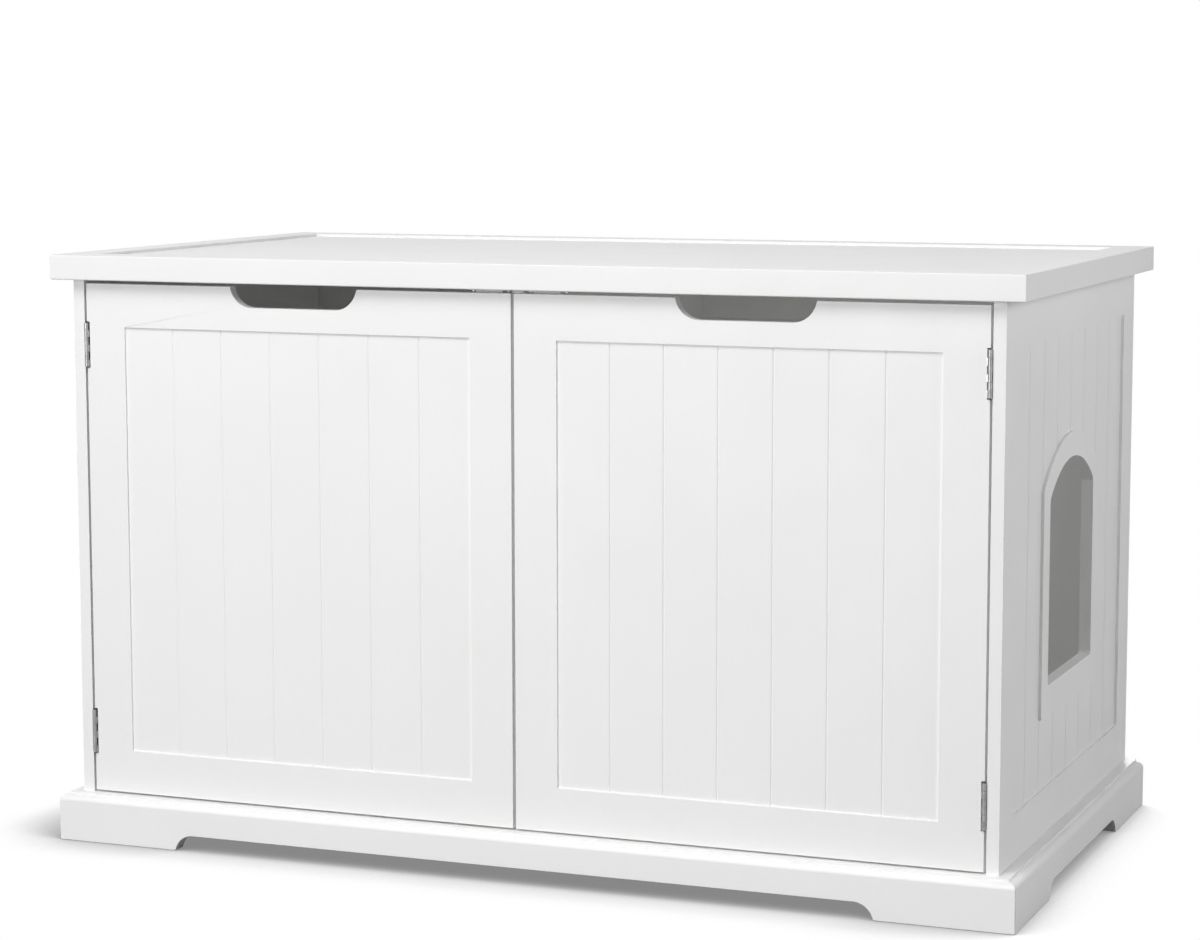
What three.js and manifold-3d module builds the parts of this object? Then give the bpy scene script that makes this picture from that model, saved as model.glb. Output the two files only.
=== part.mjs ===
// Cat litter box cabinet: a low white bench of painted board on a moulded plinth.
//
// Two beadboard doors hang on butt hinges between the side panels and are pulled open
// by rounded hand-holds cut in their top edges. The cat goes in by an arched entry in
// the right side panel, and through the arch of an inner divider to the litter tray.
//
// Millimetres, +Z up. The doors face -Y and +X is to the right of someone facing them.
// The origin is at the middle of the floor area that the cabinet covers.

import * as THREE from 'three';
import { mergeVertices } from 'three/addons/utils/BufferGeometryUtils.js';
import Module from 'manifold-3d';

const wasm = await Module();
wasm.setup();

// ---------------------------------------------------------------- driving dimensions

// Carcass: the box of boards that carries everything.
const carcassWidth = 960;
const carcassDepth = 542;
const carcassTop = 573; // height of the side panels' top edges above the floor
const sideThickness = 12;
const sideFootClearance = 20; // height of the side panels' bottom edges above the floor
const floorThickness = 12;
const boardGap = 0.2; // fit between two boards that meet

// Top panel.
const topThickness = 25;
const topFrontOverhang = 12;
const topSideOverhang = 20;
const topEdgeRadius = 1.5;
const topRimWidth = 37; // the raised rim round the top's sunk field
const topFieldDepth = 3;
const topFieldCornerRadius = 3;

// Plinth: four rails, mitred at the two front corners, with bracket feet.
const plinthHeight = 49;
const plinthFrontProjection = 16;
const plinthSideProjection = 20;
const backRailThickness = 12;
const footLength = 134; // from the plinth's outer corner to where the scroll begins
const scrollHeight = 16;
const scrollRadius = 20;
const mouldStep = 2.5; // drop from the plinth's flat top to its rounded edge
const mouldWidth = 8;
const mouldDrop = 6;
const mitreGap = 0.3;

// Beadboard fields, sunk in the faces of the doors and of the side panels.
const doorField = { depth: 2, grooveWidth: 2.4, grooveDepth: 0.8 };
const sideField = { depth: 3, grooveWidth: 3, grooveDepth: 1.5 };
const sidePlanks = 8;
const sideStile = 47;
const sideRail = 44.5;

// Cat entry in the right side panel.
const entryWidth = 183;
const entryHeight = 212;
const entrySill = 193; // height above the floor
const entryArchRadius = 146;
const entryShoulderRadius = 8; // where the arch meets the upright sides
const entrySillRadius = 4;
const entrySurround = 25;
const entrySurroundSill = 30;

// Divider and back.
const dividerThickness = 12;
const dividerSetback = 14; // behind the doors' faces
const dividerSill = 70; // height of its opening above the floor panel
const backPanelThickness = 4;
const backPanelInset = 8; // from the side panels' back edges
const backGrooveDepth = 6;
const backTopRailHeight = 60;
const backTopRailThickness = 12;

// Blocks and the bearer under the floor panel.
const blockSize = 26;
const blockHeight = 18;
const blockChamfer = 12;
const bearerWidth = 20;
const bearerHeight = 18;

// Doors.
const doorThickness = 12;
const doorSideGap = 2.3;
const doorCentreGap = 3;
const doorTopGap = 3.8;
const doorBottomGap = 2;
const doorPlanks = 7;
const doorFrame = 43.5;
const handHoldWidth = 138;
const handHoldDepth = 20.5;
const handHoldRadius = 24;

// Butt hinges.
const hingeHeight = 44;
const hingeInset = 39.5; // from the door's top or bottom edge
const hingeAxisProud = 1; // in front of the door's face
const knuckleCount = 6;
const knuckleRadius = 2.2;
const knuckleBore = 1.2;
const knuckleGap = 0.3;
const leafThickness = 1;
const leafWidth = 12;
const leafSeat = 0.1;
const doorLeafSetOff = 0.8; // how far the door leaf lies outside its knuckles
const mortiseClearance = 1.2; // above and below a hinge
const leafScrewSpread = 30;
const leafScrewRadius = 1.6;
const leafScrewHeadRadius = 2.8;
const pinRadius = 1.1;
const pinChamfer = 0.3;

// Magnetic catches under the top panel, and their strike plates on the doors.
const catchInset = 30; // from the cabinet's middle to the middle of a catch
const catchLength = 28;
const catchDepth = 13;
const catchHeight = 12;
const catchFlangeLength = 46;
const catchFlangeThickness = 2.5;
const catchScrewRadius = 1.8;
const poleThickness = 1.5;
const poleProud = 0.8;
const strikeLength = 36;
const strikeHeight = 10;
const strikeThickness = 1;
const strikeDrop = 1; // from the door's top edge
const catchGap = 0.3;

// Cam fittings and dowels that join the boards.
const camRadius = 7.4;
const camDepth = 9.6;
const camDrop = 24; // from the side panel's top edge to the cam's middle
const camInset = 95; // from the side panel's front and back edges
const boltThreadRadius = 3;
const boltThreadLength = 11;
const boltCollarRadius = 3.8;
const boltCollarLength = 3;
const boltShankRadius = 2.4;
const boltHeadRadius = 3.3;
const boltHeadLength = 6;
const dowelRadius = 4;
const dowelLength = 30;
const dowelInTop = 12;
const dowelInThinBoard = 9;
const dowelInset = 50;
const dowelChamfer = 1;
const drillGap = 0.2;

// The most that a flat facet may stray from the round form that it stands in for.
const chordError = 0.06;

// ---------------------------------------------------------------- places worked out

const halfWidth = carcassWidth / 2;
const sideInner = halfWidth - sideThickness;
const frontY = plinthFrontProjection - (plinthFrontProjection + carcassDepth) / 2;
const backY = frontY + carcassDepth;
const backPanelFront = backY - backPanelInset - backPanelThickness;
const floorTop = plinthHeight;
const floorUnder = floorTop - floorThickness;
const plinthHalfWidth = halfWidth + plinthSideProjection;
const plinthFrontY = frontY - plinthFrontProjection;

const doorInnerX = doorCentreGap / 2;
const doorOuterX = sideInner - doorSideGap;
const doorBottom = plinthHeight + doorBottomGap;
const doorTop = carcassTop - doorTopGap;
const doorMiddleX = (doorInnerX + doorOuterX) / 2;

const hingeAxisX = sideInner - leafSeat - knuckleRadius;
const hingeAxisY = frontY - hingeAxisProud;
const hingeMiddles = {
  upper: doorTop - hingeInset - hingeHeight / 2,
  lower: doorBottom + hingeInset + hingeHeight / 2,
};

const sideMiddleY = (frontY + backY) / 2;
const crownZ = entrySill + entryHeight;
const camZ = carcassTop - camDrop;
const sideMidThickness = halfWidth - sideThickness / 2;
const frontBack = { front: 1, back: -1 };

// ---------------------------------------------------------------- making solids

const group = new THREE.Group();

function addPiece(name, geometry, look) {
  const mesh = new THREE.Mesh(geometry, new THREE.MeshStandardMaterial(look));
  mesh.name = name;
  group.add(mesh);
}

function toSolid(geometry) {
  const bare = geometry.clone();
  bare.deleteAttribute('normal');
  bare.deleteAttribute('uv');
  const merged = mergeVertices(bare, 1e-4);
  const corners = merged.index.array;
  const triVerts = [];
  for (let i = 0; i < corners.length; i += 3) {
    const [a, b, c] = [corners[i], corners[i + 1], corners[i + 2]];
    if (a !== b && b !== c && c !== a) triVerts.push(a, b, c);
  }
  return new wasm.Manifold(new wasm.Mesh({
    numProp: 3,
    vertProperties: new Float32Array(merged.attributes.position.array),
    triVerts: new Uint32Array(triVerts),
  }));
}

function toGeometry(solid) {
  const mesh = solid.getMesh();
  const geometry = new THREE.BufferGeometry();
  geometry.setAttribute('position', new THREE.BufferAttribute(mesh.vertProperties, 3));
  geometry.setIndex(new THREE.BufferAttribute(mesh.triVerts, 1));
  return geometry;
}

function cut(base, tools) {
  return toGeometry(tools.reduce((solid, tool) => solid.subtract(toSolid(tool)), toSolid(base)));
}

function join(pieces) {
  return toGeometry(pieces.map(toSolid).reduce((whole, piece) => whole.add(piece)));
}

function common(first, second) {
  return toGeometry(toSolid(first).intersect(toSolid(second)));
}

function box([x0, x1], [y0, y1], [z0, z1]) {
  const geometry = new THREE.BoxGeometry(x1 - x0, y1 - y0, z1 - z0);
  return geometry.translate((x0 + x1) / 2, (y0 + y1) / 2, (z0 + z1) / 2);
}

function extrude(shape, length) {
  return new THREE.ExtrudeGeometry(shape, { depth: length, bevelEnabled: false });
}

// A shape drawn in X and Y, made solid from z0 to z1.
function prismZ(shape, [z0, z1]) {
  return extrude(shape, z1 - z0).translate(0, 0, z0);
}

// A shape drawn in X and Z, made solid from y0 to y1.
function prismY(shape, [y0, y1]) {
  return extrude(shape, y1 - y0).rotateX(Math.PI / 2).translate(0, y1, 0);
}

// A shape drawn in Y and Z, made solid from x0 to x1.
function prismX(shape, [x0, x1]) {
  const turn = new THREE.Matrix4().makeBasis(
    new THREE.Vector3(0, 1, 0),
    new THREE.Vector3(0, 0, 1),
    new THREE.Vector3(1, 0, 0),
  );
  return extrude(shape, x1 - x0).applyMatrix4(turn).translate(x0, 0, 0);
}

function toVectors(points) {
  return points.map(([x, y]) => new THREE.Vector2(x, y));
}

function polygon(points) {
  return new THREE.Shape(toVectors(points));
}

// How many flats stand in for an arc of this radius and turn.
function facets(radius, turn = 2 * Math.PI) {
  const widest = 2 * Math.acos(1 - chordError / radius);
  return Math.max(Math.ceil(Math.abs(turn) / widest), 1);
}

// Points along an arc, both ends included. The angles are in radians.
function arc(x, y, radius, from, to) {
  const count = facets(radius, to - from);
  return Array.from({ length: count + 1 }, (_, i) => {
    const angle = from + ((to - from) * i) / count;
    return [x + radius * Math.cos(angle), y + radius * Math.sin(angle)];
  });
}

function circle(x, radius) {
  return new THREE.Path(toVectors(arc(x, 0, radius, 0, -2 * Math.PI).slice(1)));
}

// A turned piece that stands on Z. Its profile is [radius, height] from bottom to top.
function turned(profile) {
  const steps = facets(Math.max(...profile.map(([radius]) => radius)));
  return new THREE.LatheGeometry(toVectors(profile), steps).rotateX(Math.PI / 2);
}

// A round bar or a drilled hole that stands on Z, from z0 to z1.
function rod(radius, x, y, [z0, z1]) {
  const steps = facets(radius);
  const bar = new THREE.CylinderGeometry(radius, radius, z1 - z0, steps).rotateX(Math.PI / 2);
  return bar.translate(x, y, (z0 + z1) / 2);
}

// The same, lying along X, from x0 to x1.
function rodX(radius, y, z, [x0, x1]) {
  const steps = facets(radius);
  const bar = new THREE.CylinderGeometry(radius, radius, x1 - x0, steps).rotateZ(Math.PI / 2);
  return bar.translate((x0 + x1) / 2, y, z);
}

// The left-hand twin of a piece that was made for the right-hand side.
function mirrored(geometry) {
  const twin = (geometry.index ? geometry.toNonIndexed() : geometry.clone());
  twin.deleteAttribute('normal');
  twin.deleteAttribute('uv');
  twin.scale(-1, 1, 1);
  const place = twin.attributes.position;
  for (let i = 0; i < place.count; i += 3) {
    const [x, y, z] = [place.getX(i), place.getY(i), place.getZ(i)];
    place.setXYZ(i, place.getX(i + 1), place.getY(i + 1), place.getZ(i + 1));
    place.setXYZ(i + 1, x, y, z);
  }
  return twin;
}

// ---------------------------------------------------------------- materials

const paint = () => ({ color: 0xf1f1f0, roughness: 0.45, metalness: 0 });
const innerPaint = () => ({ color: 0xe6e6e4, roughness: 0.6, metalness: 0 });
const backBoard = () => ({ color: 0xdededb, roughness: 0.7, metalness: 0 });
const bareWood = () => ({ color: 0xc9a878, roughness: 0.8, metalness: 0 });
const steel = () => ({ color: 0xa9abad, roughness: 0.35, metalness: 1 });
const zinc = () => ({ color: 0xb9bbbd, roughness: 0.45, metalness: 1 });
const whitePlastic = () => ({ color: 0xe9e9e7, roughness: 0.5, metalness: 0 });

// ---------------------------------------------------------------- shared forms

// What a router takes away to sink a beadboard field: planks along Z between V grooves.
// It starts at X = 0 and cuts from the face at Y = 0 towards +Y.
function fieldCutter(width, [z0, z1], planks, { depth, grooveWidth, grooveDepth }) {
  const points = [[0, -depth], [width, -depth], [width, depth]];
  for (let i = planks - 1; i > 0; i -= 1) {
    const x = (i * width) / planks;
    points.push([x + grooveWidth / 2, depth]);
    points.push([x, depth + grooveDepth]);
    points.push([x - grooveWidth / 2, depth]);
  }
  points.push([0, depth]);
  return prismZ(polygon(points), [z0, z1]);
}

// An opening with upright sides under a low arch, drawn about its own middle line.
function archShape(width, sill, crown, radius) {
  const centre = crown - radius;
  const shoulderX = width / 2 - entryShoulderRadius;
  const shoulderZ = centre + Math.sqrt((radius - entryShoulderRadius) ** 2 - shoulderX ** 2);
  const spring = Math.atan2(shoulderZ - centre, shoulderX);
  const [cornerX, cornerZ] = [width / 2 - entrySillRadius, sill + entrySillRadius];
  return polygon([
    ...arc(cornerX, cornerZ, entrySillRadius, -Math.PI / 2, 0),
    ...arc(shoulderX, shoulderZ, entryShoulderRadius, 0, spring),
    ...arc(0, centre, radius, spring, Math.PI - spring).slice(1, -1),
    ...arc(-shoulderX, shoulderZ, entryShoulderRadius, Math.PI - spring, Math.PI),
    ...arc(-cornerX, cornerZ, entrySillRadius, Math.PI, (3 * Math.PI) / 2),
  ]);
}

// A rail's section, [outward, up], with a flat top, a small step and a rounded edge.
function railSection(depth, outward) {
  const lowest = plinthHeight - mouldStep - mouldDrop;
  const squash = mouldDrop / mouldWidth;
  const rounded = arc(0, 0, mouldWidth, Math.PI / 2, 0).map(
    ([across, up]) => [depth - mouldWidth + across, lowest + up * squash],
  );
  const points = [
    [0, 0],
    [0, plinthHeight],
    [depth - mouldWidth, plinthHeight],
    ...rounded,
    [depth, 0],
  ];
  return polygon(points.map(([across, up]) => [across * outward, up]));
}

// The space under a rail between its two feet, drawn with the rail's run along X.
function scrollShape(from, to) {
  const centre = scrollHeight - scrollRadius;
  const turn = Math.asin(Math.max(-centre, 0) / scrollRadius);
  const reach = scrollRadius * Math.cos(turn);
  return polygon([
    [from, -scrollHeight],
    [to, -scrollHeight],
    ...arc(to - reach, centre, scrollRadius, turn, Math.PI / 2),
    ...arc(from + reach, centre, scrollRadius, Math.PI / 2, Math.PI - turn),
  ]);
}

function dowel(name, geometry) {
  addPiece(name, geometry, bareWood());
}

function dowelAlongZ(x, y, z0) {
  const inner = dowelRadius - dowelChamfer;
  const profile = [
    [0, 0],
    [inner, 0],
    [dowelRadius, dowelChamfer],
    [dowelRadius, dowelLength - dowelChamfer],
    [inner, dowelLength],
    [0, dowelLength],
  ];
  return turned(profile).translate(x, y, z0);
}

// ---------------------------------------------------------------- top panel

const topJointYs = {
  front: { cam: frontY + camInset, dowel: frontY + dowelInset },
  back: { cam: backY - camInset, dowel: backY - dowelInset },
};
const dividerDowelYs = {
  front: frontY + dividerSetback + dowelInset,
  back: backPanelFront - backTopRailThickness - dowelInset,
};

// The top's sunk field, drawn in X and Y, with the corners that a router leaves.
function topField() {
  const [radius, rim] = [topFieldCornerRadius, topRimWidth + topFieldCornerRadius];
  const x = halfWidth + topSideOverhang - rim;
  const front = frontY - topFrontOverhang + rim;
  const back = backY - rim;
  return polygon([
    ...arc(x, front, radius, -Math.PI / 2, 0),
    ...arc(x, back, radius, 0, Math.PI / 2),
    ...arc(-x, back, radius, Math.PI / 2, Math.PI),
    ...arc(-x, front, radius, Math.PI, (3 * Math.PI) / 2),
  ]);
}

function topPanel() {
  const outline = polygon([
    [-halfWidth - topSideOverhang + topEdgeRadius, frontY - topFrontOverhang + topEdgeRadius],
    [halfWidth + topSideOverhang - topEdgeRadius, frontY - topFrontOverhang + topEdgeRadius],
    [halfWidth + topSideOverhang - topEdgeRadius, backY - topEdgeRadius],
    [-halfWidth - topSideOverhang + topEdgeRadius, backY - topEdgeRadius],
  ]);
  const top = carcassTop + topThickness;
  const slab = new THREE.ExtrudeGeometry(outline, {
    depth: topThickness - 2 * topEdgeRadius,
    bevelThickness: topEdgeRadius,
    bevelSize: topEdgeRadius,
    bevelSegments: 2,
  }).translate(0, 0, carcassTop + topEdgeRadius);
  const under = carcassTop - 1;
  const dowelHole = [under, carcassTop + dowelInTop + 2 * drillGap];
  const boltHole = [under, carcassTop + boltThreadLength + 2 * drillGap];
  const holes = [];
  for (const side of [-1, 1]) {
    for (const { cam, dowel: dowelY } of Object.values(topJointYs)) {
      holes.push(rod(boltThreadRadius + drillGap, side * sideMidThickness, cam, boltHole));
      holes.push(rod(dowelRadius + drillGap, side * sideMidThickness, dowelY, dowelHole));
    }
  }
  for (const y of Object.values(dividerDowelYs)) {
    holes.push(rod(dowelRadius + drillGap, 0, y, dowelHole));
  }
  return cut(slab, [prismZ(topField(), [top - topFieldDepth, top + 1]), ...holes]);
}

addPiece('top_panel', topPanel(), paint());

// ---------------------------------------------------------------- side panels

const floorDowelYs = { front: frontY + dowelInset, back: backY - dowelInset };
const floorDowelZ = floorTop - floorThickness / 2;
const camFloorX = sideInner + camDepth + 2 * drillGap;
const dowelInSide = dowelLength - dowelInTop;

// The right-hand panel. The left-hand one is its twin without the cat entry.
function sidePanel(hasEntry) {
  const board = box([sideInner, halfWidth], [frontY, backY], [sideFootClearance, carcassTop]);
  const fieldZ = [plinthHeight + sideRail, carcassTop - sideRail];
  let field = fieldCutter(carcassDepth - 2 * sideStile, fieldZ, sidePlanks, sideField)
    .rotateZ(Math.PI / 2)
    .translate(halfWidth, frontY + sideStile, 0);
  const tools = [];
  if (hasEntry) {
    const through = [sideInner - 1, halfWidth + 2 * sideField.depth];
    const surround = archShape(
      entryWidth + 2 * entrySurround,
      entrySill - entrySurroundSill,
      crownZ + entrySurround,
      entryArchRadius + entrySurround,
    );
    const opening = archShape(entryWidth, entrySill, crownZ, entryArchRadius);
    field = cut(field, [prismX(surround, through).translate(0, sideMiddleY, 0)]);
    tools.push(prismX(opening, through).translate(0, sideMiddleY, 0));
  }
  tools.push(field);
  tools.push(box(
    [sideInner - 1, sideInner + backGrooveDepth],
    [backPanelFront - boardGap, backPanelFront + backPanelThickness + boardGap],
    [floorUnder - boardGap, carcassTop + 1],
  ));
  for (const { cam, dowel: dowelY } of Object.values(topJointYs)) {
    tools.push(rodX(camRadius + drillGap, cam, camZ, [sideInner - 1, camFloorX]));
    tools.push(rod(boltCollarRadius + drillGap, sideMidThickness, cam, [camZ, carcassTop + 1]));
    const depth = [carcassTop - dowelInSide - 2 * drillGap, carcassTop + 1];
    tools.push(rod(dowelRadius + drillGap, sideMidThickness, dowelY, depth));
  }
  for (const y of Object.values(floorDowelYs)) {
    const depth = [sideInner - 1, sideInner + dowelInThinBoard + 2 * drillGap];
    tools.push(rodX(dowelRadius + drillGap, y, floorDowelZ, depth));
  }
  return cut(board, tools);
}

addPiece('right_side_panel', sidePanel(true), paint());
addPiece('left_side_panel', mirrored(sidePanel(false)), paint());

// ---------------------------------------------------------------- floor, back and divider

function floorPanel() {
  const end = sideInner - boardGap;
  const board = box([-end, end], [frontY + boardGap, backPanelFront - boardGap], [floorUnder, floorTop]);
  const intoFloor = sideInner - (dowelLength - dowelInThinBoard) - 2 * drillGap;
  const holes = [];
  for (const y of Object.values(floorDowelYs)) {
    holes.push(rodX(dowelRadius + drillGap, y, floorDowelZ, [intoFloor, sideInner + 1]));
    holes.push(rodX(dowelRadius + drillGap, y, floorDowelZ, [-sideInner - 1, -intoFloor]));
  }
  for (const y of Object.values(dividerDowelYs)) {
    const depth = [floorTop - dowelInThinBoard - 2 * drillGap, floorTop + 1];
    holes.push(rod(dowelRadius + drillGap, 0, y, depth));
  }
  return cut(board, holes);
}

function backPanel() {
  const end = sideInner + backGrooveDepth - boardGap;
  const span = [backPanelFront, backPanelFront + backPanelThickness];
  return box([-end, end], span, [floorUnder, carcassTop]);
}

const backTopRailFront = backPanelFront - boardGap - backTopRailThickness;

function backTopRail() {
  const end = sideInner - boardGap;
  const span = [backTopRailFront, backTopRailFront + backTopRailThickness];
  return box([-end, end], span, [carcassTop - backTopRailHeight, carcassTop]);
}

function centerDivider() {
  const half = dividerThickness / 2;
  const bottom = floorTop + boardGap;
  const board = box(
    [-half, half],
    [frontY + dividerSetback, backPanelFront - boardGap],
    [bottom, carcassTop],
  );
  const sill = floorTop + dividerSill;
  const opening = archShape(entryWidth, sill, sill + entryHeight, entryArchRadius);
  const tools = [
    prismX(opening, [-half - 1, half + 1]).translate(0, sideMiddleY, 0),
    box(
      [-half - 1, half + 1],
      [backTopRailFront - boardGap, backY],
      [carcassTop - backTopRailHeight - boardGap, carcassTop + 1],
    ),
  ];
  for (const y of Object.values(dividerDowelYs)) {
    const topDepth = [carcassTop - dowelInSide - 2 * drillGap, carcassTop + 1];
    const floorDepth = [bottom - 1, floorTop + (dowelLength - dowelInThinBoard) + 2 * drillGap];
    tools.push(rod(dowelRadius + drillGap, 0, y, topDepth));
    tools.push(rod(dowelRadius + drillGap, 0, y, floorDepth));
  }
  return cut(board, tools);
}

addPiece('floor_panel', floorPanel(), innerPaint());
addPiece('back_panel', backPanel(), backBoard());
addPiece('back_top_rail', backTopRail(), innerPaint());
addPiece('center_divider', centerDivider(), innerPaint());

// ---------------------------------------------------------------- plinth

const mitreShift = mitreGap / 2 * Math.SQRT2;
const scrollHalfWidth = plinthHalfWidth - footLength;

function frontPlinthRail() {
  const length = [-plinthHalfWidth, plinthHalfWidth];
  const run = prismX(railSection(plinthFrontProjection, -1), length).translate(0, frontY, 0);
  const outer = plinthHalfWidth - mitreShift;
  const inner = outer - plinthFrontProjection;
  const plan = polygon([
    [-outer, plinthFrontY],
    [outer, plinthFrontY],
    [inner, frontY],
    [-inner, frontY],
  ]);
  const mitred = common(run, prismZ(plan, [0, plinthHeight]));
  const through = [plinthFrontY - 1, frontY + 1];
  return cut(mitred, [prismY(scrollShape(-scrollHalfWidth, scrollHalfWidth), through)]);
}

function rightPlinthRail() {
  const section = railSection(plinthSideProjection, 1);
  const run = prismY(section, [plinthFrontY, backY]).translate(halfWidth, 0, 0);
  const outerY = plinthFrontY + mitreShift;
  const butt = frontY + boardGap;
  const inner = plinthHalfWidth - (butt - outerY);
  const plan = polygon([
    [plinthHalfWidth, outerY],
    [plinthHalfWidth, backY],
    [halfWidth, backY],
    [halfWidth, butt],
    [inner, butt],
  ]);
  const seated = prismZ(plan, [0, plinthHeight]).translate(boardGap, 0, 0);
  const mitred = common(run, seated);
  const scroll = scrollShape(plinthFrontY + footLength, backY - footLength);
  return cut(mitred, [prismX(scroll, [halfWidth - 1, plinthHalfWidth + 1])]);
}

function backPlinthRail() {
  const end = sideInner - boardGap;
  const span = [backY - backRailThickness, backY];
  const board = box([-end, end], span, [0, floorUnder - boardGap]);
  const through = [span[0] - 1, span[1] + 1];
  return cut(board, [prismY(scrollShape(-scrollHalfWidth, scrollHalfWidth), through)]);
}

addPiece('front_plinth_rail', frontPlinthRail(), paint());
addPiece('right_plinth_rail', rightPlinthRail(), paint());
addPiece('left_plinth_rail', mirrored(rightPlinthRail()), paint());
addPiece('back_plinth_rail', backPlinthRail(), paint());

// Glue blocks in the corners of the plinth, and a bearer under the middle of the floor.
const underFloor = floorUnder - boardGap;

function cornerBlock(end) {
  const x = sideInner - boardGap;
  const y = end === 'front' ? frontY + boardGap : backY - backRailThickness - boardGap;
  const inward = frontBack[end];
  const plan = polygon([
    [x, y],
    [x - blockSize, y],
    [x - blockSize, y + inward * (blockSize - blockChamfer)],
    [x - blockSize + blockChamfer, y + inward * blockSize],
    [x, y + inward * blockSize],
  ]);
  return prismZ(plan, [underFloor - blockHeight, underFloor]);
}

for (const end of Object.keys(frontBack)) {
  addPiece(`corner_block_${end}_right`, cornerBlock(end), bareWood());
  addPiece(`corner_block_${end}_left`, mirrored(cornerBlock(end)), bareWood());
}

const bearerSpan = [frontY + boardGap, backY - backRailThickness - boardGap];
const bearer = box([-bearerWidth / 2, bearerWidth / 2], bearerSpan, [underFloor - bearerHeight, underFloor]);
addPiece('center_bearer', bearer, bareWood());

// ---------------------------------------------------------------- doors

// A door's outline, with the hand-hold sunk in the middle of its top edge.
function doorOutline() {
  const centreZ = doorTop - handHoldDepth + handHoldRadius;
  const turn = Math.asin(Math.max(centreZ - doorTop, 0) / handHoldRadius);
  const reach = handHoldWidth / 2 - handHoldRadius * Math.cos(turn);
  return polygon([
    [doorInnerX, doorBottom],
    [doorOuterX, doorBottom],
    [doorOuterX, doorTop],
    [doorMiddleX + handHoldWidth / 2, doorTop],
    ...arc(doorMiddleX + reach, centreZ, handHoldRadius, -turn, -Math.PI / 2),
    ...arc(doorMiddleX - reach, centreZ, handHoldRadius, -Math.PI / 2, turn - Math.PI),
    [doorMiddleX - handHoldWidth / 2, doorTop],
    [doorInnerX, doorTop],
  ]);
}

const mortiseFloor = hingeAxisX - knuckleRadius - doorLeafSetOff - leafSeat;

function rightDoor() {
  const board = prismY(doorOutline(), [frontY, frontY + doorThickness]);
  const fieldZ = [doorBottom + doorFrame, doorTop - doorFrame];
  const fieldWidth = doorOuterX - doorInnerX - 2 * doorFrame;
  const field = fieldCutter(fieldWidth, fieldZ, doorPlanks, doorField);
  const tools = [field.translate(doorInnerX + doorFrame, frontY, 0)];
  for (const middle of Object.values(hingeMiddles)) {
    const reach = hingeHeight / 2 + mortiseClearance;
    tools.push(box(
      [mortiseFloor, doorOuterX + 1],
      [frontY - 1, frontY + doorThickness + 1],
      [middle - reach, middle + reach],
    ));
  }
  return cut(board, tools);
}

addPiece('right_door', rightDoor(), paint());
addPiece('left_door', mirrored(rightDoor()), paint());

// ---------------------------------------------------------------- hinges

// The two leaves roll round the pin by turns: each has every second knuckle. A leaf is
// drawn about the pin with its plate at +X, and the door leaf is then turned over to -X.
// The door leaf is set off, so its mortise stays clear of the frame leaf's knuckles.
const knuckleHeight = hingeHeight / knuckleCount;

function knuckleSpan(index, slack) {
  const bottom = -hingeHeight / 2 + index * knuckleHeight;
  return [bottom + slack, bottom + knuckleHeight - slack];
}

function knuckle(index) {
  const ring = polygon(arc(0, 0, knuckleRadius, 0, 2 * Math.PI).slice(1));
  ring.holes.push(circle(0, knuckleBore));
  return prismZ(ring, knuckleSpan(index, knuckleGap / 2));
}

function screwHole(outerX, y, z) {
  const half = leafThickness / 2;
  const sink = leafScrewHeadRadius - leafScrewRadius;
  const profile = [
    [0, -half - 1],
    [leafScrewRadius, -half - 1],
    [leafScrewRadius, half - Math.min(sink, leafThickness / 2)],
    [leafScrewHeadRadius, half],
    [leafScrewHeadRadius, half + 1],
    [0, half + 1],
  ];
  return turned(profile).rotateY(-Math.PI / 2).translate(outerX - half, y, z);
}

function hingeLeaf(firstKnuckle, setOff) {
  const outerX = knuckleRadius + setOff;
  const pieces = [box(
    [outerX - leafThickness, outerX],
    [0, leafWidth],
    [-hingeHeight / 2 + knuckleGap / 2, hingeHeight / 2 - knuckleGap / 2],
  )];
  const tools = [];
  for (let i = 0; i < knuckleCount; i += 1) {
    if (i % 2 === firstKnuckle) {
      const root = [-leafThickness / 2, leafThickness];
      pieces.push(knuckle(i));
      pieces.push(box([(knuckleBore + knuckleRadius) / 2, outerX], root, knuckleSpan(i, knuckleGap / 2)));
    } else {
      const relief = knuckleRadius + knuckleGap;
      tools.push(box([0, outerX + 1], [-relief, relief], knuckleSpan(i, -knuckleGap / 2)));
    }
  }
  const holeY = (knuckleRadius + leafWidth) / 2;
  tools.push(screwHole(outerX, holeY, leafScrewSpread / 2));
  tools.push(screwHole(outerX, holeY, -leafScrewSpread / 2));
  return cut(join(pieces), tools);
}

function hingePin() {
  const half = hingeHeight / 2 - knuckleGap;
  const tip = pinRadius - pinChamfer;
  return turned([
    [0, -half],
    [tip, -half],
    [pinRadius, -half + pinChamfer],
    [pinRadius, half - pinChamfer],
    [tip, half],
    [0, half],
  ]);
}

for (const [level, middle] of Object.entries(hingeMiddles)) {
  const pieces = {
    frame_leaf: hingeLeaf(1, 0),
    door_leaf: mirrored(hingeLeaf(0, doorLeafSetOff)),
    pin: hingePin(),
  };
  for (const [piece, geometry] of Object.entries(pieces)) {
    const placed = geometry.translate(hingeAxisX, hingeAxisY, middle);
    addPiece(`right_${level}_hinge_${piece}`, placed, steel());
    addPiece(`left_${level}_hinge_${piece}`, mirrored(placed), steel());
  }
}

// ---------------------------------------------------------------- magnetic catches

const strikeBack = frontY + doorThickness + leafSeat + strikeThickness;
const poleFront = strikeBack + catchGap;
const catchFront = poleFront + poleProud;

// A bar with round ends, drawn about its own middle.
function roundEnded(length, width) {
  const reach = (length - width) / 2;
  return polygon([
    ...arc(reach, 0, width / 2, -Math.PI / 2, Math.PI / 2),
    ...arc(-reach, 0, width / 2, Math.PI / 2, (3 * Math.PI) / 2),
  ]);
}

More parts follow.
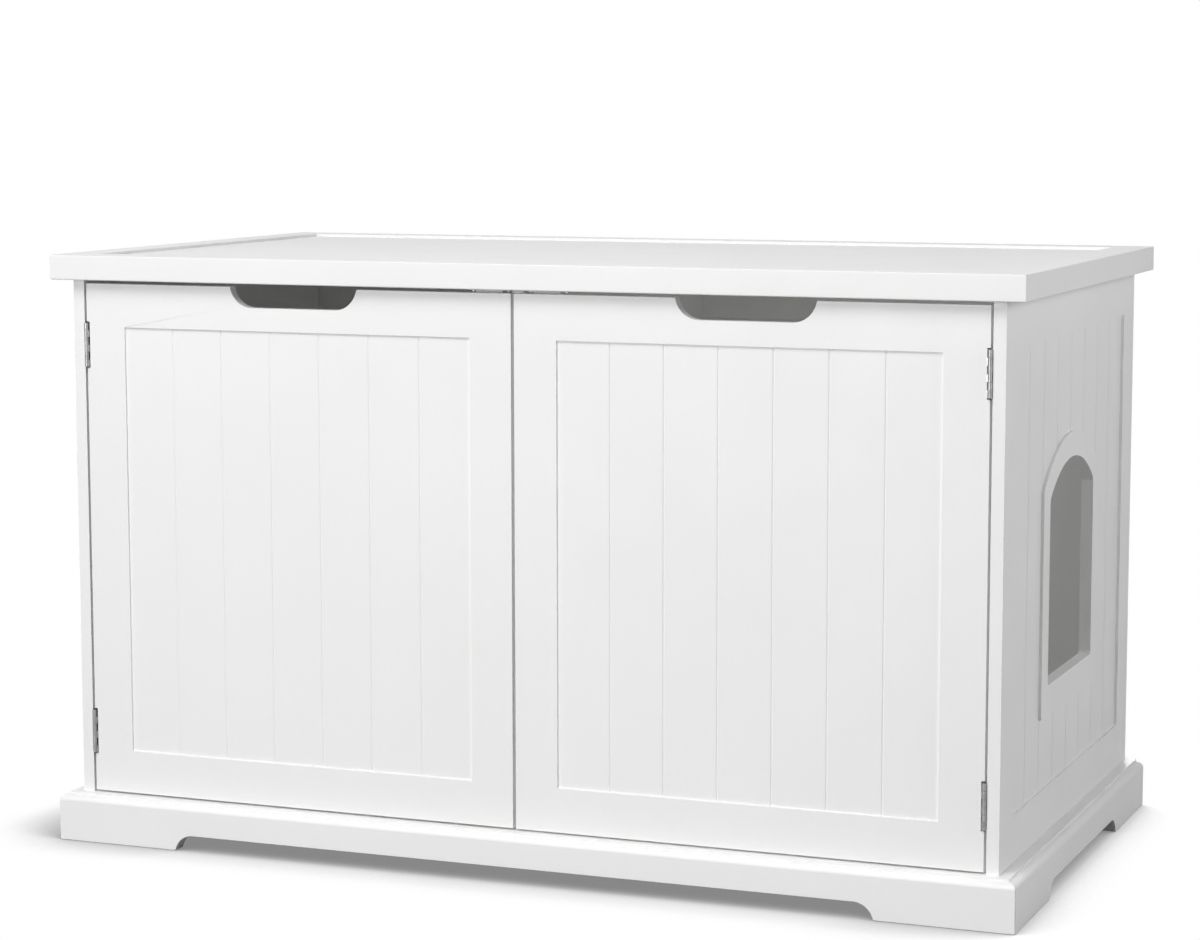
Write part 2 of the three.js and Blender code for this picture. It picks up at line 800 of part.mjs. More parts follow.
function magneticCatch() {
  const half = catchLength / 2;
  const top = carcassTop;
  const middleY = catchFront + catchDepth / 2;
  const flange = roundEnded(catchFlangeLength, catchDepth - 2);
  const poleZ = top - catchHeight + poleThickness;
  const poleHalf = half - poleThickness;
  const pieces = [
    box([-half, half], [catchFront, catchFront + catchDepth], [top - catchHeight, top]),
    prismZ(flange, [top - catchFlangeThickness, top]).translate(0, middleY, 0),
  ];
  for (const z of [poleZ, poleZ + 2 * poleThickness]) {
    pieces.push(box([-poleHalf, poleHalf], [poleFront, catchFront + 1], [z, z + poleThickness]));
  }
  const screwX = (catchLength + catchFlangeLength) / 4;
  const drilled = [-screwX, screwX].map(
    (x) => rod(catchScrewRadius, x, middleY, [top - catchFlangeThickness - 1, top + 1]),
  );
  return cut(join(pieces), drilled);
}

function strikePlate() {
  const middleZ = doorTop - strikeDrop - strikeHeight / 2;
  const plate = roundEnded(strikeLength, strikeHeight);
  const reach = (strikeLength - strikeHeight) / 2;
  plate.holes.push(circle(-reach, catchScrewRadius), circle(reach, catchScrewRadius));
  return prismY(plate, [strikeBack - strikeThickness, strikeBack]).translate(0, 0, middleZ);
}

const rightCatch = magneticCatch().translate(catchInset, 0, 0);
const rightStrike = strikePlate().translate(catchInset, 0, 0);
addPiece('right_magnetic_catch', rightCatch, whitePlastic());
addPiece('left_magnetic_catch', mirrored(rightCatch), whitePlastic());
addPiece('right_strike_plate', rightStrike, zinc());
addPiece('left_strike_plate', mirrored(rightStrike), zinc());

// ---------------------------------------------------------------- cam fittings and dowels

// A cam disc lies in its hole in the side panel's inner face. Its slot takes the bolt.
function camLock(y) {
  const x0 = sideInner + drillGap;
  const disc = rodX(camRadius, y, camZ, [x0, x0 + camDepth]);
  const slotHalf = boltHeadRadius + 2 * drillGap;
  const slotFloor = sideMidThickness - slotHalf;
  const lowest = camZ - slotHalf;
  const arm = camRadius / 2;
  const bar = drillGap * 4;
  const mouth = [x0 - 1, x0 + bar];
  return cut(disc, [
    box([slotFloor, halfWidth], [y - slotHalf, y + slotHalf], [lowest, camZ + camRadius + 1]),
    box(mouth, [y - arm, y + arm], [camZ - bar, camZ + bar]),
    box(mouth, [y - bar, y + bar], [camZ - arm, camZ + arm]),
  ]);
}

function camBolt(y) {
  const headEnd = -camDrop - boltHeadRadius / 2;
  const neck = headEnd + boltHeadLength;
  const soft = boltHeadRadius / 3;
  return turned([
    [0, headEnd],
    [boltHeadRadius - soft, headEnd],
    [boltHeadRadius, headEnd + soft],
    [boltHeadRadius, neck - soft],
    [boltShankRadius, neck],
    [boltShankRadius, -boltCollarLength],
    [boltCollarRadius, -boltCollarLength],
    [boltCollarRadius, -boardGap],
    [boltThreadRadius, -boardGap],
    [boltThreadRadius, boltThreadLength],
    [0, boltThreadLength],
  ]).translate(sideMidThickness, y, carcassTop);
}

for (const [end, { cam, dowel: dowelY }] of Object.entries(topJointYs)) {
  const lock = camLock(cam);
  const bolt = camBolt(cam);
  const topDowel = dowelAlongZ(sideMidThickness, dowelY, carcassTop - dowelInSide);
  addPiece(`cam_lock_${end}_right`, lock, zinc());
  addPiece(`cam_lock_${end}_left`, mirrored(lock), zinc());
  addPiece(`cam_bolt_${end}_right`, bolt, zinc());
  addPiece(`cam_bolt_${end}_left`, mirrored(bolt), zinc());
  dowel(`top_dowel_${end}_right`, topDowel);
  dowel(`top_dowel_${end}_left`, mirrored(topDowel));
}

for (const [end, y] of Object.entries(floorDowelYs)) {
  const lying = dowelAlongZ(0, 0, 0).rotateY(Math.PI / 2);
  const inner = sideInner + dowelInThinBoard - dowelLength;
  const placed = lying.translate(inner, y, floorDowelZ);
  dowel(`floor_dowel_${end}_right`, placed);
  dowel(`floor_dowel_${end}_left`, mirrored(placed));
}

for (const [end, y] of Object.entries(dividerDowelYs)) {
  dowel(`divider_top_dowel_${end}`, dowelAlongZ(0, y, carcassTop - dowelInSide));
  dowel(`divider_floor_dowel_${end}`, dowelAlongZ(0, y, floorTop - dowelInThinBoard));
}

export default group;
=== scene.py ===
import math

import bpy
from mathutils import Matrix, Vector


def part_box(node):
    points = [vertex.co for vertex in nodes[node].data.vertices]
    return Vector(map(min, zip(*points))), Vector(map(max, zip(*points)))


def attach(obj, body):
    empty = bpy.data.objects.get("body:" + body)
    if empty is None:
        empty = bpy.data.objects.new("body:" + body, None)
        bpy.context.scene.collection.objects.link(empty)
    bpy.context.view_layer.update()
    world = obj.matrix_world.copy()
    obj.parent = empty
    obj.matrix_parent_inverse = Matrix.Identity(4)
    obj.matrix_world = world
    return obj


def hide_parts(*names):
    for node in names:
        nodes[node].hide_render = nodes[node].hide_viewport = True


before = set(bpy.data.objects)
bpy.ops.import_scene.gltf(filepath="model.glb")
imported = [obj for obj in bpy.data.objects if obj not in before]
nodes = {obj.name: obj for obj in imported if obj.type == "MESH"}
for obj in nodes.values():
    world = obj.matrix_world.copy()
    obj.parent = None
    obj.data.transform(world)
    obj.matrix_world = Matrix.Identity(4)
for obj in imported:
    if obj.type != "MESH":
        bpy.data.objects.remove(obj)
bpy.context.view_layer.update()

# Camera: a long lens that stands a little to the right of the cabinet and higher than its
# top, and looks slightly down at it.
camera = bpy.data.objects.new("camera", bpy.data.cameras.new("camera"))
bpy.context.scene.collection.objects.link(camera)
camera.data.sensor_fit = "HORIZONTAL"
camera.data.sensor_width = 36.0
camera.data.lens = 92.317
camera.location = (1.1561, -2.9422, 0.7535)
turn_left = Matrix.Rotation(math.radians(21.708), 3, "Z")
look_down = Matrix.Rotation(math.radians(90 - 6.897), 3, "X")
roll = Matrix.Rotation(math.radians(-0.07), 3, "Z")
camera.rotation_euler = (turn_left @ look_down @ roll).to_euler()
bpy.context.scene.camera = camera
bpy.context.scene.view_settings.view_transform = "Standard"
bpy.context.scene.cycles.max_bounces = 16
bpy.context.scene.cycles.diffuse_bounces = 12

# Room: a white floor and white surroundings. Two big soft lamps stand in front on the left,
# weaker ones light the other sides and the top's back edge, and a small one hangs in each
# compartment. The floor's glow carries a painted contact shadow round the cabinet, worked out
# from how near the cabinet is rather than cast by the lamps, and longest on the left.
def lay_wires(tree, *wires):
    for start, end in wires:
        tree.links.new(start, end)


def seen_directly(tree):
    """1 for what the lens, a gloss or clear glass shows, 0 for what only gives light."""
    path = tree.nodes.new("ShaderNodeLightPath")
    total = tree.nodes.new("ShaderNodeMath")
    total.operation = "ADD"
    with_glass = tree.nodes.new("ShaderNodeMath")
    with_glass.operation = "ADD"
    with_glass.use_clamp = True
    lay_wires(
        tree,
        (path.outputs["Is Camera Ray"], total.inputs[0]),
        (path.outputs["Is Glossy Ray"], total.inputs[1]),
        (total.outputs[0], with_glass.inputs[0]),
        (path.outputs["Is Transmission Ray"], with_glass.inputs[1]),
    )
    return with_glass.outputs[0]


room = bpy.data.worlds.new("room")
bpy.context.scene.world = room
room.use_nodes = True
room_tree = room.node_tree
room_tree.nodes.clear()
walls = room_tree.nodes.new("ShaderNodeBackground")
walls.inputs["Color"].default_value = (1.0, 1.0, 1.0, 1.0)
walls.inputs["Strength"].default_value = 0.02
backdrop = room_tree.nodes.new("ShaderNodeBackground")
backdrop.inputs["Color"].default_value = (1.0, 1.0, 1.0, 1.0)
backdrop.inputs["Strength"].default_value = 1.0
room_mix = room_tree.nodes.new("ShaderNodeMixShader")
room_out = room_tree.nodes.new("ShaderNodeOutputWorld")
lay_wires(
    room_tree,
    (seen_directly(room_tree), room_mix.inputs[0]),
    (walls.outputs[0], room_mix.inputs[1]),
    (backdrop.outputs[0], room_mix.inputs[2]),
    (room_mix.outputs[0], room_out.inputs["Surface"]),
)

floor_span = 24.0
floor_drop = 0.0005
bpy.ops.object.select_all(action="DESELECT")
bpy.ops.mesh.primitive_plane_add(size=floor_span, location=(0.0, 0.0, -floor_drop))
floor = bpy.context.active_object
floor.name = "floor"
floor_white = bpy.data.materials.new("floor_white")
floor_white.use_nodes = True
floor_tree = floor_white.node_tree
floor_tree.nodes.clear()
matt = floor_tree.nodes.new("ShaderNodeBsdfDiffuse")
matt.inputs["Color"].default_value = (0.3, 0.3, 0.3, 1.0)


def contact_shade(tree, leaning, stops):
    """Painted shade for the floor's glow: how bright the floor is shown near the cabinet, judged from rays
    that lean one way.

    Each stop holds how open the floor is there, and how bright it is shown."""
    lean = tree.nodes.new("ShaderNodeVectorMath")
    lean.operation = "NORMALIZE"
    lean.inputs[0].default_value = leaning
    nearness = tree.nodes.new("ShaderNodeAmbientOcclusion")
    nearness.inputs["Distance"].default_value = shade_reach
    ramp = tree.nodes.new("ShaderNodeValToRGB")
    (first, dark), (second, half), (last, bright) = stops
    ramp.color_ramp.elements[0].position = first
    ramp.color_ramp.elements[0].color = (dark, dark, dark, 1.0)
    ramp.color_ramp.elements[1].position = last
    ramp.color_ramp.elements[1].color = (bright, bright, bright, 1.0)
    ramp.color_ramp.elements.new(second).color = (half, half, half, 1.0)
    lay_wires(
        tree,
        (lean.outputs[0], nearness.inputs["Normal"]),
        (nearness.outputs["AO"], ramp.inputs["Fac"]),
    )
    return ramp.outputs["Color"]


shade_reach = 0.13
straight_up = (0.0, 0.0, 1.0)
up_to_the_right = (2.5, 0.6, 1.0)
# Two painted contact shadows, one all round and one reaching further on the left. The floor's glow takes
# the darker of them, so this shade is painted into its colour.
all_round = contact_shade(floor_tree, straight_up, ((0.15, 0.245), (0.5, 0.58), (0.75, 1.0)))
left_long = contact_shade(floor_tree, up_to_the_right, ((0.2, 0.3), (0.5, 0.47), (0.82, 1.0)))
painted_shade = floor_tree.nodes.new("ShaderNodeMath")
painted_shade.operation = "MINIMUM"
glow = floor_tree.nodes.new("ShaderNodeEmission")
floor_mix = floor_tree.nodes.new("ShaderNodeMixShader")
floor_out = floor_tree.nodes.new("ShaderNodeOutputMaterial")
lay_wires(
    floor_tree,
    (all_round, painted_shade.inputs[0]),
    (left_long, painted_shade.inputs[1]),
    (painted_shade.outputs[0], glow.inputs["Color"]),
    (seen_directly(floor_tree), floor_mix.inputs[0]),
    (matt.outputs[0], floor_mix.inputs[1]),
    (glow.outputs[0], floor_mix.inputs[2]),
    (floor_mix.outputs[0], floor_out.inputs["Surface"]),
)
floor.data.materials.append(floor_white)


def hang_lamp(name, place, aim, size, watts):
    lamp = bpy.data.objects.new(name, bpy.data.lights.new(name, "AREA"))
    bpy.context.scene.collection.objects.link(lamp)
    lamp.data.shape = "DISK"
    lamp.data.size = size
    lamp.data.energy = watts
    lamp.location = place
    lamp.rotation_euler = (Vector(aim) - Vector(place)).to_track_quat("-Z", "Y").to_euler()


hang_lamp("low_front_lamp", place=(-0.9, -4.6, 1.0), aim=(0.0, 0.0, 0.3), size=2.0, watts=80.0)
hang_lamp("high_front_lamp", place=(-0.7, -2.6, 3.4), aim=(0.0, 0.0, 0.3), size=2.4, watts=107.0)
hang_lamp("right_lamp", place=(2.2, -0.3, 1.0), aim=(0.48, 0.0, 0.4), size=1.0, watts=14.2)
hang_lamp("back_right_lamp", place=(2.6, 2.6, 2.4), aim=(0.4, 0.0, 0.3), size=1.6, watts=14.0)
hang_lamp("back_left_lamp", place=(-1.2, 2.2, 3.0), aim=(0.0, 0.0, 0.5), size=1.6, watts=15.0)
hang_lamp("left_lamp", place=(-3.4, 0.7, 0.22), aim=(-0.5, 0.0, 0.3), size=0.7, watts=30.0)
hang_lamp("back_lamp", place=(-0.4, 3.8, 0.22), aim=(0.0, 0.3, 0.3), size=0.7, watts=50.0)
hang_lamp("left_compartment_lamp", place=(-0.24, 0.0, 0.5), aim=(-0.24, 0.0, 0.0), size=0.3, watts=0.06)
hang_lamp("right_compartment_lamp", place=(0.24, 0.0, 0.5), aim=(0.24, 0.0, 0.0), size=0.3, watts=0.19)

# Painted boards outside: the top, the side panels, the doors and the plinth's rails.
# They are fibreboard, machined, then sprayed with a white satin lacquer that softens
# their arrises and fills their grooves a little.
def fresh_surface(name, roughness, metallic=0.0):
    surface = bpy.data.materials.new(name)
    surface.use_nodes = True
    shader = surface.node_tree.nodes["Principled BSDF"]
    shader.inputs["Roughness"].default_value = roughness
    shader.inputs["Metallic"].default_value = metallic
    return surface, surface.node_tree, shader


def noise_on_object(tree, scale, detail, stretch=(1.0, 1.0, 1.0)):
    """Noise that is fixed to the piece, with so many lumps to a metre."""
    place = tree.nodes.new("ShaderNodeTexCoord")
    spread = tree.nodes.new("ShaderNodeMapping")
    spread.inputs["Scale"].default_value = stretch
    noise = tree.nodes.new("ShaderNodeTexNoise")
    noise.inputs["Scale"].default_value = scale
    noise.inputs["Detail"].default_value = detail
    lay_wires(
        tree,
        (place.outputs["Object"], spread.inputs["Vector"]),
        (spread.outputs["Vector"], noise.inputs["Vector"]),
    )
    return noise.outputs["Fac"]


noise_low = 0.3
noise_high = 0.7


def shade_between(tree, factor, low, high):
    ramp = tree.nodes.new("ShaderNodeValToRGB")
    ramp.color_ramp.elements[0].position = noise_low
    ramp.color_ramp.elements[0].color = (*low, 1.0)
    ramp.color_ramp.elements[1].position = noise_high
    ramp.color_ramp.elements[1].color = (*high, 1.0)
    tree.links.new(factor, ramp.inputs["Fac"])
    return ramp.outputs["Color"]


def level_between(tree, factor, low, high):
    level = tree.nodes.new("ShaderNodeMapRange")
    level.inputs["From Min"].default_value = noise_low
    level.inputs["From Max"].default_value = noise_high
    level.inputs["To Min"].default_value = low
    level.inputs["To Max"].default_value = high
    tree.links.new(factor, level.inputs["Value"])
    return level.outputs["Result"]


def raise_skin(tree, shader, height, depth):
    """Small relief, so many metres deep."""
    bump = tree.nodes.new("ShaderNodeBump")
    bump.inputs["Distance"].default_value = depth
    lay_wires(tree, (height, bump.inputs["Height"]), (bump.outputs["Normal"], shader.inputs["Normal"]))


def satin_lacquer(name, low, high, roughness):
    surface, tree, shader = fresh_surface(name, roughness)
    clouds = noise_on_object(tree, scale=5.0, detail=3.0)
    patches = noise_on_object(tree, scale=18.0, detail=4.0)
    orange_peel = noise_on_object(tree, scale=420.0, detail=2.0)
    lay_wires(
        tree,
        (shade_between(tree, clouds, low, high), shader.inputs["Base Color"]),
        (level_between(tree, patches, roughness - 0.04, roughness + 0.05), shader.inputs["Roughness"]),
    )
    raise_skin(tree, shader, orange_peel, depth=0.00002)
    return surface


def eased_board(node, body, surface, easing):
    """A board's own form with its arrises rounded over. It takes the place of its node."""
    board = bpy.data.objects.new(node + "_eased", nodes[node].data.copy())
    bpy.context.scene.collection.objects.link(board)
    bpy.ops.object.select_all(action="DESELECT")
    board.select_set(True)
    bpy.context.view_layer.objects.active = board
    board.data.materials.clear()
    board.data.materials.append(surface)
    bpy.ops.object.mode_set(mode="EDIT")
    bpy.ops.mesh.select_all(action="SELECT")
    bpy.ops.mesh.remove_doubles(threshold=same_point)
    bpy.ops.mesh.dissolve_limited(angle_limit=same_plane)
    bpy.ops.object.mode_set(mode="OBJECT")
    round_over = board.modifiers.new("round_over", "BEVEL")
    round_over.width = easing
    round_over.segments = 2
    round_over.limit_method = "ANGLE"
    round_over.angle_limit = arris_angle
    round_over.miter_outer = "MITER_ARC"
    round_over.face_strength_mode = "FSTR_ALL"
    bpy.ops.object.modifier_apply(modifier=round_over.name)
    bpy.ops.object.shade_smooth_by_angle(angle=arris_angle)
    flat_faces = board.modifiers.new("flat_faces", "WEIGHTED_NORMAL")
    flat_faces.keep_sharp = True
    flat_faces.use_face_influence = True
    bpy.ops.object.modifier_apply(modifier=flat_faces.name)
    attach(board, body)
    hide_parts(node)
    return board


same_point = 1e-6
same_plane = math.radians(0.3)
arris_angle = math.radians(32)
white_lacquer = satin_lacquer("white_lacquer", (0.875, 0.875, 0.872), (0.895, 0.895, 0.892), roughness=0.5)
for node in ("top_panel", "left_side_panel", "right_side_panel"):
    eased_board(node, "carcass", white_lacquer, easing=0.0007)
for node in ("front_plinth_rail", "left_plinth_rail", "right_plinth_rail", "back_plinth_rail"):
    eased_board(node, "carcass", white_lacquer, easing=0.0006)
for side in ("left", "right"):
    eased_board(side + "_door", side + "_door", white_lacquer, easing=0.0006)

# Boards inside: the floor, the divider and the rail under the top's back edge. They get
# one thinner coat, so they are a little greyer than the outside.
thin_coat = satin_lacquer("thin_coat", (0.84, 0.84, 0.835), (0.87, 0.87, 0.865), roughness=0.5)
for node in ("floor_panel", "center_divider", "back_top_rail"):
    eased_board(node, "carcass", thin_coat, easing=0.0005)

# Back panel: a thin sheet of hardboard with a white facing, duller than the lacquer. It is
# slid into grooves in the boards round it.
white_facing = satin_lacquer("white_facing", (0.8, 0.8, 0.79), (0.84, 0.84, 0.83), roughness=0.6)
eased_board("back_panel", "carcass", white_facing, easing=0.0002)

# Glue blocks, bearer and dowels: bare softwood and beech, sawn and left unpainted. The
# blocks are glued into the plinth's corners, the bearer under the middle of the floor, and
# the dowels into the joints between the boards.
def bare_timber(name, stretch):
    surface, tree, shader = fresh_surface(name, roughness=0.75)
    rings = noise_on_object(tree, scale=60.0, detail=6.0, stretch=stretch)
    fibres = noise_on_object(tree, scale=300.0, detail=4.0, stretch=stretch)
    colours = shade_between(tree, rings, (0.5, 0.33, 0.17), (0.68, 0.49, 0.28))
    tree.links.new(colours, shader.inputs["Base Color"])
    raise_skin(tree, shader, fibres, depth=0.00008)
    return surface


upright_grain = bare_timber("upright_grain", stretch=(1.0, 1.0, 0.12))
lengthwise_grain = bare_timber("lengthwise_grain", stretch=(1.0, 0.05, 1.0))
crosswise_grain = bare_timber("crosswise_grain", stretch=(0.12, 1.0, 1.0))
for name, node in nodes.items():
    if name.startswith("corner_block"):
        eased_board(name, "carcass", upright_grain, easing=0.0006)
    elif name == "center_bearer":
        eased_board(name, "carcass", lengthwise_grain, easing=0.0006)
    elif "dowel" in name:
        node.data.materials.clear()
        node.data.materials.append(crosswise_grain if name.startswith("floor") else upright_grain)

# Hinges: two butt hinges to a door, of steel with a satin nickel plate. One leaf is let into
# the carcass and one into the door, their knuckles are rolled, and a pin runs through them.
def plated_steel(name, low, high, roughness, stretch):
    surface, tree, shader = fresh_surface(name, roughness, metallic=1.0)
    tarnish = noise_on_object(tree, scale=120.0, detail=3.0)
    brushing = noise_on_object(tree, scale=900.0, detail=3.0, stretch=stretch)
    lay_wires(
        tree,
        (shade_between(tree, tarnish, low, high), shader.inputs["Base Color"]),
        (level_between(tree, brushing, roughness - 0.07, roughness + 0.08), shader.inputs["Roughness"]),
    )
    raise_skin(tree, shader, brushing, depth=0.00001)
    return surface


along_the_barrel = (1.0, 1.0, 0.08)
satin_nickel = plated_steel(
    "satin_nickel", (0.25, 0.25, 0.25), (0.34, 0.34, 0.335), roughness=0.28, stretch=along_the_barrel
)
for name in nodes:
    if "_hinge_" in name:
        body = name.split("_")[0] + "_door" if name.endswith("door_leaf") else "carcass"
        eased_board(name, body, satin_nickel, easing=0.00015)

# Cam fittings and strike plates: cast locks, turned bolts and pressed plates, all bright
# with zinc. The locks sit in the side panels and draw the bolts of the top down, and the
# plates are screwed to the doors, opposite the catches.
no_grain = (1.0, 1.0, 1.0)
bright_zinc = plated_steel(
    "bright_zinc", (0.6, 0.6, 0.6), (0.72, 0.72, 0.71), roughness=0.36, stretch=no_grain
)
for name, node in nodes.items():
    if name.startswith("cam_lock"):
        eased_board(name, "carcass", bright_zinc, easing=0.0002)
    elif name.startswith("cam_bolt"):
        node.data.materials.clear()
        node.data.materials.append(bright_zinc)
    elif name.endswith("strike_plate"):
        body = name.split("_")[0] + "_door"
        eased_board(name, body, bright_zinc, easing=0.0002)

# Magnetic catches: one for each door, a moulded case of white plastic with two flanges. It
# is screwed up under the top.
moulded_white = satin_lacquer("moulded_white", (0.82, 0.82, 0.81), (0.86, 0.86, 0.85), roughness=0.42)
for side in ("left", "right"):
    case = eased_board(side + "_magnetic_catch", "carcass", moulded_white, easing=0.0004)

# Magnet and pole plates: each catch holds a ferrite bar between two steel plates, and
# the plates stand a little proud of the case, so that they meet the strike plate.
def squared_bar(name, low, high, easing, surface):
    """A bar between two corners, its arrises eased."""
    low, high = Vector(low), Vector(high)
    bpy.ops.object.select_all(action="DESELECT")
    bpy.ops.mesh.primitive_cube_add(size=1.0, location=(low + high) / 2)
    bar = bpy.context.active_object
    bar.name = name
    bar.dimensions = high - low
    bpy.ops.object.transform_apply(location=True, rotation=True, scale=True)
    bpy.ops.object.mode_set(mode="EDIT")
    bpy.ops.mesh.select_all(action="SELECT")
    bpy.ops.mesh.bevel(offset=easing, segments=2, profile=0.5)
    bpy.ops.object.mode_set(mode="OBJECT")
    bpy.ops.object.shade_smooth_by_angle(angle=math.radians(40))
    bar.data.materials.append(surface)
    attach(bar, "carcass")


def sintered_ferrite(name):
    surface, tree, shader = fresh_surface(name, roughness=0.7)
    grit = noise_on_object(tree, scale=2500.0, detail=3.0)
    colours = shade_between(tree, grit, (0.02, 0.02, 0.021), (0.05, 0.05, 0.052))
    tree.links.new(colours, shader.inputs["Base Color"])
    raise_skin(tree, shader, grit, depth=0.00003)
    return surface


ferrite = sintered_ferrite("ferrite")
pole_thickness = 0.0015
pole_half = 0.0125
bar_back = 0.0016
cover = 0.00004
magnet_inset = 0.0005
magnet_sink = 0.0004
for side in ("left", "right"):
    low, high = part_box(side + "_magnetic_catch")
    middle_x = (low.x + high.x) / 2
    for index, rank in enumerate(("lower", "upper")):
        foot = low.z + pole_thickness * (1 + 2 * index)
        squared_bar(
            f"{side}_{rank}_pole_plate",
            low=(middle_x - pole_half - cover, low.y - cover, foot - cover),
            high=(middle_x + pole_half + cover, low.y + bar_back, foot + pole_thickness + cover),
            easing=0.0002, surface=bright_zinc,
        )
    magnet_half = pole_half - magnet_inset
    squared_bar(
        side + "_magnet",
        low=(middle_x - magnet_half, low.y + magnet_sink, low.z + 2 * pole_thickness),
        high=(middle_x + magnet_half, low.y + bar_back, low.z + 3 * pole_thickness),
        easing=0.0001, surface=ferrite,
    )

# Screws: cross-head steel wood screws. Two countersunk ones hold each hinge leaf, two
# small flush ones each strike plate, and two pan-headed ones each catch.
def pick_faces(piece, wanted):
    """Select the faces whose normal is a wanted one, and stay in edit mode."""
    bpy.ops.object.mode_set(mode="EDIT")
    bpy.ops.mesh.select_mode(type="FACE")
    bpy.ops.mesh.select_all(action="DESELECT")
    bpy.ops.object.mode_set(mode="OBJECT")
    for face in piece.data.polygons:
        face.select = wanted(face.normal)
    bpy.ops.object.mode_set(mode="EDIT")


def grow_end(lift, scale, height):
    """Extrude what is selected by a lift, then scale it about the screw's axis."""
    bpy.ops.mesh.extrude_region_move(TRANSFORM_OT_translate={"value": (0.0, 0.0, lift)})
    bpy.ops.transform.resize(value=(scale, scale, 1.0), center_override=(0.0, 0.0, height))


def cross_cutter(half_length, depth, face_height):
    """A bar that narrows to its foot, for one arm of the cross."""
    arm_width = 0.55 * half_length
    bpy.ops.object.select_all(action="DESELECT")
    bpy.ops.mesh.primitive_cube_add(size=1.0, location=(0.0, 0.0, face_height))
    cutter = bpy.context.active_object
    cutter.dimensions = (2 * half_length, arm_width, 2 * depth)
    bpy.ops.object.transform_apply(location=True, rotation=True, scale=True)
    pick_faces(cutter, lambda normal: normal.z < -0.9)
    bpy.ops.transform.resize(value=(0.4, 0.5, 1.0), center_override=(0.0, 0.0, face_height - depth))
    bpy.ops.object.mode_set(mode="OBJECT")
    return cutter


def wood_screw(head_radius, head_height, shank_radius, length, pan_headed):
    """A screw on the z axis. Its seat, or its face if it is countersunk, is at height zero."""
    neck = 0.0 if pan_headed else -head_height
    bpy.ops.object.select_all(action="DESELECT")
    bpy.ops.mesh.primitive_cylinder_add(
        vertices=40, radius=shank_radius, depth=length, location=(0.0, 0.0, neck - length / 2)
    )
    screw = bpy.context.active_object
    bpy.ops.object.transform_apply(location=True, rotation=True, scale=True)
    pick_faces(screw, lambda normal: normal.z > 0.9)
    spread = head_radius / shank_radius
    if pan_headed:
        # An upright rim, a shoulder and a nearly flat crown.
        grow_end(0.0, spread, neck)
        grow_end(head_height * 0.55, 1.0, neck)
        grow_end(head_height * 0.3, 0.86, neck)
        grow_end(head_height * 0.15, 0.7, neck)
    else:
        # A cone and a thin rim.
        grow_end(head_height * 0.9, spread, neck)
        grow_end(head_height * 0.1, 0.98, neck)
    # The end narrows to a point. Under a pan head the ring's faces are let go again, but its
    # edges stay picked, so thin webs run down from them, hidden inside the wood. Under the
    # flattest countersunk heads the cone is picked too and reaches further down.
    point_length = 2.0 * shank_radius
    pick_faces(screw, lambda normal: normal.z < -0.9)
    if pan_headed:
        bpy.ops.object.mode_set(mode="OBJECT")
        for face in screw.data.polygons:
            face.select = face.normal.z < -0.9 and face.center.z < -length / 2
        bpy.ops.object.mode_set(mode="EDIT")
    grow_end(-point_length, 0.12, neck - length)
    bpy.ops.object.mode_set(mode="OBJECT")
    recess_reach = 0.55 * head_radius
    recess_depth = 0.3 * head_radius
    face_height = head_height if pan_headed else 0.0
    for quarter in (0.0, math.pi / 2):
        cutter = cross_cutter(recess_reach, recess_depth, face_height)
        cutter.rotation_euler = (0.0, 0.0, quarter)
        bpy.ops.object.transform_apply(location=True, rotation=True, scale=True)
        recess = screw.modifiers.new("recess", "BOOLEAN")
        recess.operation = "DIFFERENCE"
        recess.solver = "EXACT"
        recess.object = cutter
        bpy.ops.object.select_all(action="DESELECT")
        screw.select_set(True)
        bpy.context.view_layer.objects.active = screw
        bpy.ops.object.modifier_apply(modifier=recess.name)
        bpy.data.objects.remove(cutter)
    bpy.ops.object.shade_smooth_by_angle(angle=math.radians(35))
    return screw


def drive_screw(pattern, name, place, heading, twist, surface, body):
    """A copy of the screw, its head turned to face a heading."""
    bpy.ops.object.select_all(action="DESELECT")
    pattern.select_set(True)
    bpy.context.view_layer.objects.active = pattern
    bpy.ops.object.duplicate(linked=False)
    screw = bpy.context.active_object
    screw.name = name
    screw.data.name = name
    screw.location = place
    facing = Vector(heading).to_track_quat("Z", "Y").to_matrix()
    screw.rotation_euler = (facing @ Matrix.Rotation(math.radians(twist), 3, "Z")).to_euler()
    bpy.ops.object.transform_apply(location=True, rotation=True, scale=True)
    screw.data.materials.append(surface)
    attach(screw, body)


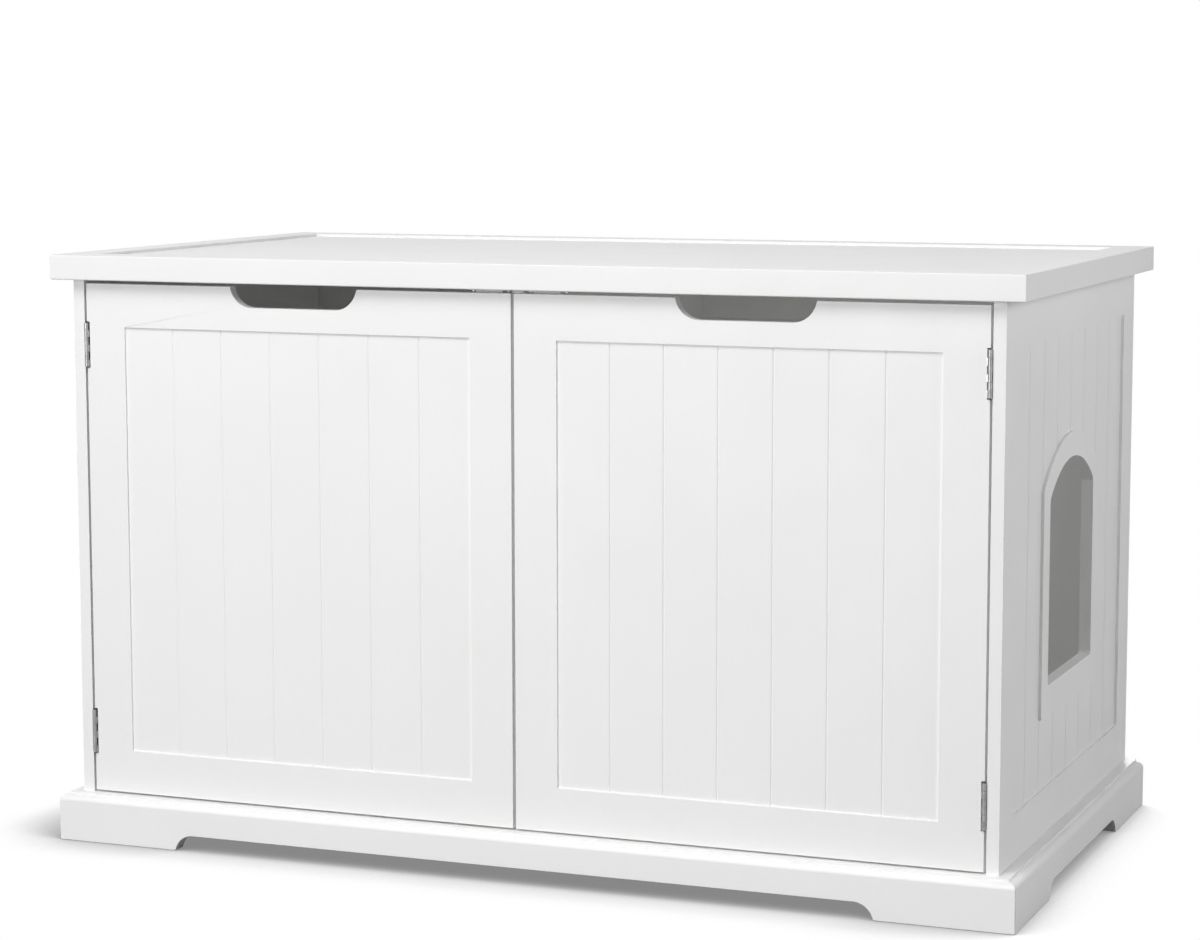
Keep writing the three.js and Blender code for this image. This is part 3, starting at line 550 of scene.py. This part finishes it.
leaf_thickness = 0.001
leaf_hole_inset = 0.0049
leaf_hole_reach = 0.015
flush = 0.00005
hinge_screw = wood_screw(
    head_radius=0.0026, head_height=0.0005, shank_radius=0.0013, length=0.0065, pan_headed=False
)
twist = 0.0
next_twist = 37.0
for side, outward in (("left", -1.0), ("right", 1.0)):
    for level in ("upper", "lower"):
        for leaf, facing in (("door_leaf", outward), ("frame_leaf", -outward)):
            low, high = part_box(f"{side}_{level}_hinge_{leaf}")
            back_of_leaf = low.x if facing > 0 else high.x
            face_x = back_of_leaf + facing * (leaf_thickness - flush)
            body = side + "_door" if leaf == "door_leaf" else "carcass"
            for end, reach in (("top", leaf_hole_reach), ("bottom", -leaf_hole_reach)):
                twist += next_twist
                drive_screw(
                    hinge_screw, f"{side}_{level}_{leaf}_{end}_screw",
                    (face_x, high.y - leaf_hole_inset, (low.z + high.z) / 2 + reach),
                    (facing, 0.0, 0.0), twist, satin_nickel, body,
                )
bpy.data.objects.remove(hinge_screw)

strike_hole_reach = 0.013
strike_screw = wood_screw(
    head_radius=0.0017, head_height=0.0008, shank_radius=0.0011, length=0.007, pan_headed=False
)
for side in ("left", "right"):
    low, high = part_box(side + "_strike_plate")
    for end, reach in (("outer", strike_hole_reach), ("inner", -strike_hole_reach)):
        twist += next_twist
        drive_screw(
            strike_screw, f"{side}_strike_{end}_screw",
            ((low.x + high.x) / 2 + reach, high.y - flush, (low.z + high.z) / 2),
            (0.0, 1.0, 0.0), twist, bright_zinc, side + "_door",
        )
bpy.data.objects.remove(strike_screw)

flange_thickness = 0.0025
catch_hole_reach = 0.0185
case_depth = 0.013
catch_screw = wood_screw(
    head_radius=0.003, head_height=0.0018, shank_radius=0.0015, length=0.01, pan_headed=True
)
for side in ("left", "right"):
    low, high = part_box(side + "_magnetic_catch")
    for end, reach in (("outer", catch_hole_reach), ("inner", -catch_hole_reach)):
        twist += next_twist
        drive_screw(
            catch_screw, f"{side}_catch_{end}_screw",
            ((low.x + high.x) / 2 + reach, high.y - case_depth / 2, high.z - flange_thickness - flush),
            (0.0, 0.0, -1.0), twist, bright_zinc, "carcass",
        )
bpy.data.objects.remove(catch_screw)
